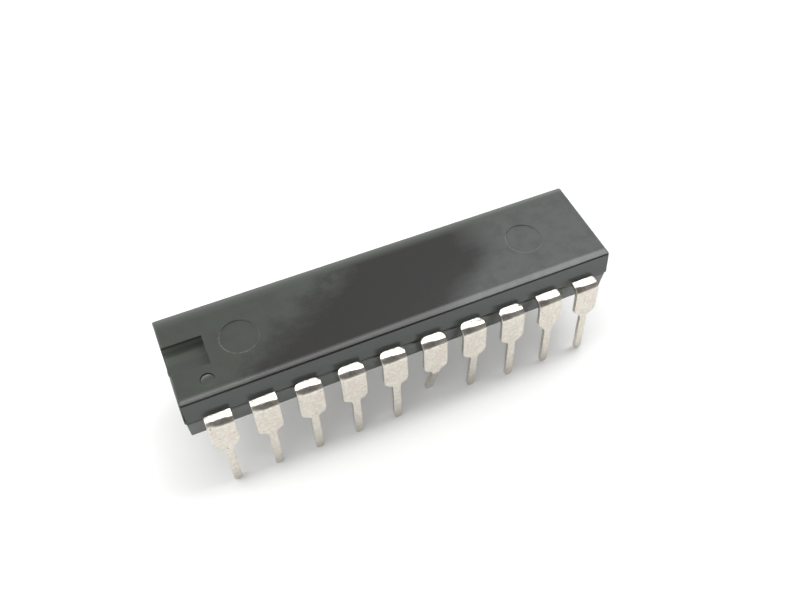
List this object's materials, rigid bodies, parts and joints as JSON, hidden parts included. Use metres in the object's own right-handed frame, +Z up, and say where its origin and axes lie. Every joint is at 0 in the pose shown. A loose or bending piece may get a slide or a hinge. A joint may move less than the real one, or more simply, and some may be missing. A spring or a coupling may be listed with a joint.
{
  "type": "dip integrated circuit chip",
  "caption": "Black epoxy dual in-line integrated circuit with two rows of tin-plated formed leads, an end notch, a pin 1 dimple and one bent pin.",
  "frame": {"origin": "under the middle of the body, on the plane of the tips of the straight pins", "axes": "+X along the body from the notched end to the plain end, -Y towards the front row (pins 1 to 10), +Z up"},
  "size_m": [0.0264, 0.009, 0.0071],
  "materials": {
    "epoxy": "black moulding compound, semi-gloss with a fine grain",
    "tin_plate": "matte tin plate over nickel-iron alloy",
    "frame_alloy": "bare rolled nickel-iron alloy",
    "silver_paste": "silver-filled adhesive",
    "silicon": "polished silicon",
    "gold": "drawn gold wire"
  },
  "bodies": {
    "root": {"body": "epoxy", "lead_01": "tin_plate", "lead_02": "tin_plate", "lead_03": "tin_plate", "lead_04": "tin_plate", "lead_05": "tin_plate", "lead_06": "tin_plate", "lead_07": "tin_plate", "lead_08": "tin_plate", "lead_09": "tin_plate", "lead_10": "tin_plate", "lead_11": "tin_plate", "lead_12": "tin_plate", "lead_13": "tin_plate", "lead_14": "tin_plate", "lead_15": "tin_plate", "lead_16": "tin_plate", "lead_17": "tin_plate", "lead_18": "tin_plate", "lead_19": "tin_plate", "lead_20": "tin_plate", "die_paddle": "frame_alloy", "die_attach": "silver_paste", "die": "silicon", "bond_wires": "gold"}
  },
  "joints": []
}
